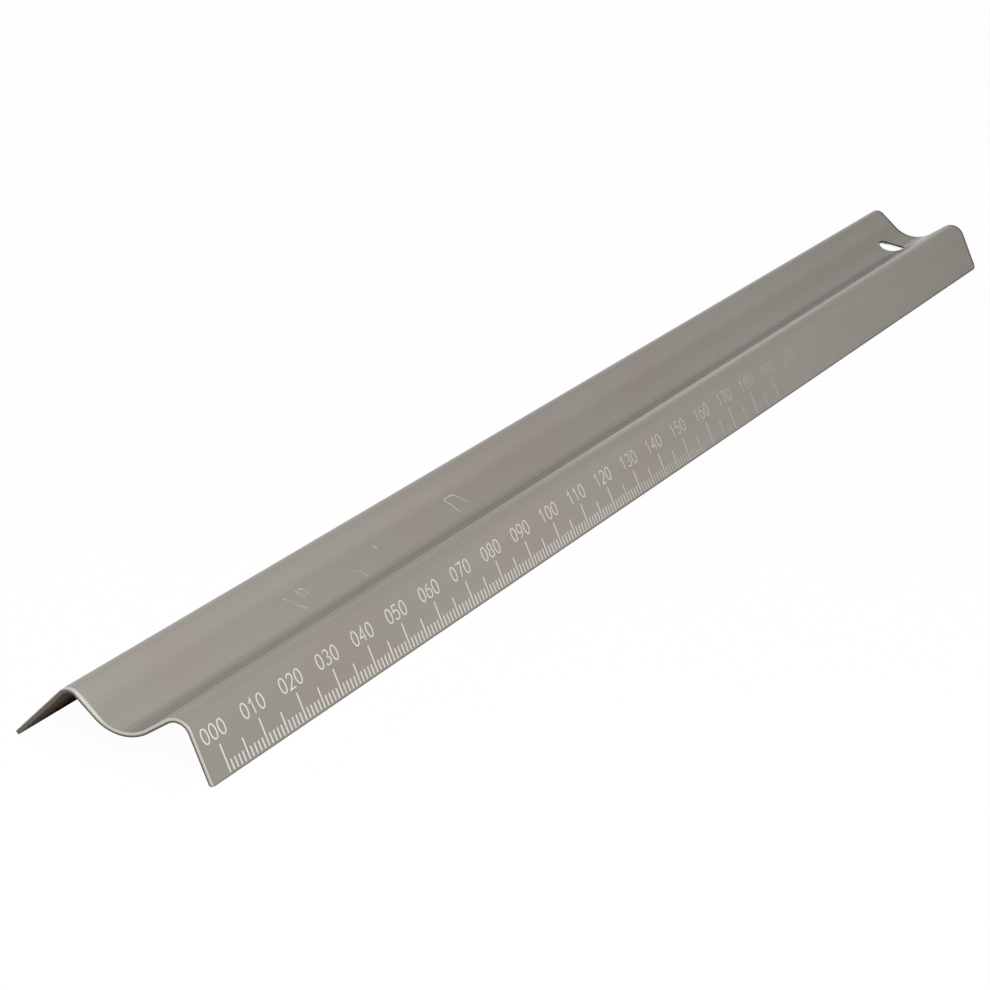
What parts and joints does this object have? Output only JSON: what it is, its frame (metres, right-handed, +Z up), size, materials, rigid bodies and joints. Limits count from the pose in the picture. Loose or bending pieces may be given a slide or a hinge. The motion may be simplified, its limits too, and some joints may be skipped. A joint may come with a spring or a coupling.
{
  "type": "safety ruler",
  "caption": "Safety ruler bent from one strip of steel sheet, with a wavy section whose valley shields the fingers, an engraved millimetre scale and a hanging hole.",
  "frame": {"origin": "on the table under the middle of the ruler: the centre of the bounding box's bottom", "axes": "+X along the ruler from the end where the scale starts to the end with the hanging hole, +Y from the scale edge to the back edge, +Z up"},
  "size_m": [0.302, 0.0306, 0.0087],
  "materials": {
    "satin_steel": "satin"
  },
  "bodies": {
    "root": {"ruler_sheet": "satin_steel"}
  },
  "joints": []
}
